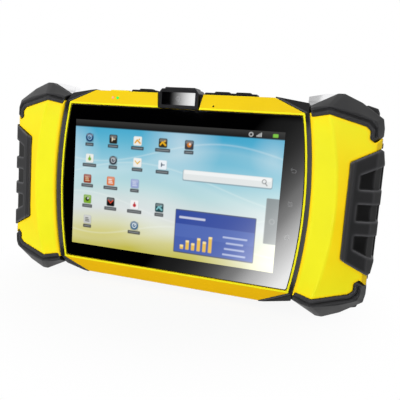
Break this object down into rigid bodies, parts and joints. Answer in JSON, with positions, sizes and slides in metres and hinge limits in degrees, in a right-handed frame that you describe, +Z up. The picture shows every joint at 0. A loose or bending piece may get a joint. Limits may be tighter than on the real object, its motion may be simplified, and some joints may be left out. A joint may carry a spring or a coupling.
{
  "type": "field data collector",
  "caption": "Rugged handheld field computer with a wide touch screen, side grips, rubber corner bumpers, sprung top keys, hinged port cover and a locked battery door.",
  "frame": {"origin": "on the ground plane, below the middle of the box round the part, which stands on its lower bumpers", "axes": "+X to the viewer's right along the screen, +Y from the screen to the back, +Z up"},
  "size_m": [0.2684, 0.0384, 0.142],
  "materials": {
    "yellow_housing": "fine satin texture, semi-gloss",
    "rubber": "matt, fine grain",
    "black_plastic": "satin",
    "rear_plastic": "fine texture, matt",
    "cover_glass": "polished, black printed border round a clear window",
    "display": "lit liquid-crystal panel in a black frame",
    "clear_window": "polished clear plate",
    "steel": "polished stainless",
    "dark_steel": "black-coated steel screws",
    "brass": "knurled, machined",
    "gold_contacts": "plated contact pads",
    "magnesium": "die-cast, bead-blasted",
    "circuit_board": "solder mask over glass laminate",
    "can_steel": "tinned sheet",
    "seal_rubber": "smooth silicone",
    "ceramic": "fired ceramic patch on its ground plate",
    "battery_wrap": "moulded pack",
    "green_light": "lit light pipe",
    "red_light": "lit light pipe"
  },
  "bodies": {
    "unit": {"cover_glass": "cover_glass", "glass_gasket": "seal_rubber", "lcd_panel": "display", "front_housing": "yellow_housing", "overmould_right": "rubber", "overmould_left": "rubber", "grip_shell_right": "yellow_housing", "grip_shell_left": "yellow_housing", "grip_pad_right": "rubber", "grip_pad_left": "rubber", "bumper_top_right": "rubber", "bumper_top_left": "rubber", "bumper_bottom_right": "rubber", "bumper_bottom_left": "rubber", "strap_bracket_right": "steel", "strap_bracket_left": "steel", "camera_pod": "black_plastic", "camera_window": "clear_window", "front_camera": "black_plastic", "key_strip_left": "black_plastic", "key_strip_right": "black_plastic", "key_switches": "can_steel", "port_hinge_pin": "steel", "usb_socket": "steel", "charge_light": "red_light", "power_light": "green_light", "dock_connector": "black_plastic", "dock_contacts": "gold_contacts", "mid_frame": "magnesium", "main_board": "circuit_board", "shield_cans": "can_steel", "board_screws": "steel", "gnss_antenna": "ceramic", "wireless_antenna": "circuit_board", "speaker": "black_plastic", "rear_housing": "rear_plastic", "housing_seal": "seal_rubber", "battery_pack": "battery_wrap", "battery_contacts": "gold_contacts", "rear_camera": "black_plastic", "rear_camera_window": "clear_window", "flash_lens": "clear_window", "case_screws": "dark_steel", "side_screws": "dark_steel", "threaded_inserts": "brass"},
    "power_key": {"power_key": "rubber"},
    "volume_up_key": {"volume_up_key": "rubber"},
    "volume_down_key": {"volume_down_key": "rubber"},
    "port_cover": {"port_cover": "yellow_housing"},
    "battery_door": {"battery_door": "rear_plastic", "door_seal": "seal_rubber"},
    "door_lock_left": {"door_lock_left": "dark_steel"},
    "door_lock_right": {"door_lock_right": "dark_steel"}
  },
  "joints": [
    {"name": "power_key_press", "type": "slide", "parent": "unit", "child": "power_key", "axis": [0, 0, -1], "range_m": [0, 0.0006], "stiffness_N_per_m": 800},
    {"name": "volume_up_press", "type": "slide", "parent": "unit", "child": "volume_up_key", "axis": [0, 0, -1], "range_m": [0, 0.0006], "stiffness_N_per_m": 800},
    {"name": "volume_down_press", "type": "slide", "parent": "unit", "child": "volume_down_key", "axis": [0, 0, -1], "range_m": [0, 0.0006], "stiffness_N_per_m": 800},
    {"name": "port_cover_hinge", "type": "hinge", "parent": "unit", "child": "port_cover", "pos_m": [-0.04695, -0.00025, 0.1376], "axis": [-1, 0, 0], "range_deg": [0, 110]},
    {"name": "battery_door_lift", "type": "slide", "parent": "unit", "child": "battery_door", "axis": [0, 1, 0], "range_m": [0, 0.03]},
    {"name": "door_lock_left_turn", "type": "hinge", "parent": "battery_door", "child": "door_lock_left", "pos_m": [-0.0506, 0.01715, 0.071], "axis": [0, 1, 0], "range_deg": [0, 90]},
    {"name": "door_lock_right_turn", "type": "hinge", "parent": "battery_door", "child": "door_lock_right", "pos_m": [0.0506, 0.01715, 0.071], "axis": [0, 1, 0], "range_deg": [0, 90]}
  ]
}
